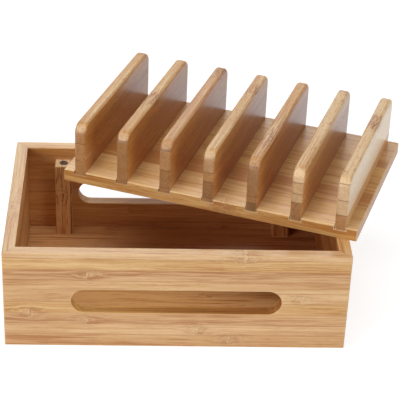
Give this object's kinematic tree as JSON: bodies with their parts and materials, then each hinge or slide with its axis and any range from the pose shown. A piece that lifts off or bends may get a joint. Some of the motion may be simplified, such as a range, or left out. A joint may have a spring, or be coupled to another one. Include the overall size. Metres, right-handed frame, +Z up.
{
  "type": "charging station organizer",
  "caption": "Bamboo desk box with a cable slot at front and back, and a lift-off lid whose row of upright dividers holds devices while they charge.",
  "frame": {"origin": "centre of the box's underside, on the surface that it stands on", "axes": "+Z up, +X along the box's length, to the right seen from the front; +Y towards the back"},
  "size_m": [0.3629, 0.2752, 0.157],
  "materials": {
    "bamboo_box": "satin lacquer",
    "bamboo_lid": "satin lacquer",
    "magnet": "dark nickel plate"
  },
  "bodies": {
    "box": {"front_panel": "bamboo_box", "back_panel": "bamboo_box", "left_end_panel": "bamboo_box", "right_end_panel": "bamboo_box", "bottom_panel": "bamboo_box", "post_back_left": "bamboo_box", "post_back_right": "bamboo_box", "post_front_left": "bamboo_box", "post_front_right": "bamboo_box", "post_magnet_back_left": "magnet", "post_magnet_back_right": "magnet", "post_magnet_front_left": "magnet", "post_magnet_front_right": "magnet"},
    "lid": {"lid_plate": "bamboo_lid", "divider_1": "bamboo_lid", "divider_2": "bamboo_lid", "divider_3": "bamboo_lid", "divider_4": "bamboo_lid", "divider_5": "bamboo_lid", "divider_6": "bamboo_lid", "divider_7": "bamboo_lid", "lid_magnet_back_left": "magnet", "lid_magnet_back_right": "magnet", "lid_magnet_front_left": "magnet", "lid_magnet_front_right": "magnet"}
  },
  "joints": [
    {"name": "lid_lift", "type": "slide", "parent": "box", "child": "lid", "axis": [0, 0, 1], "range_m": [0, 0.15]}
  ]
}
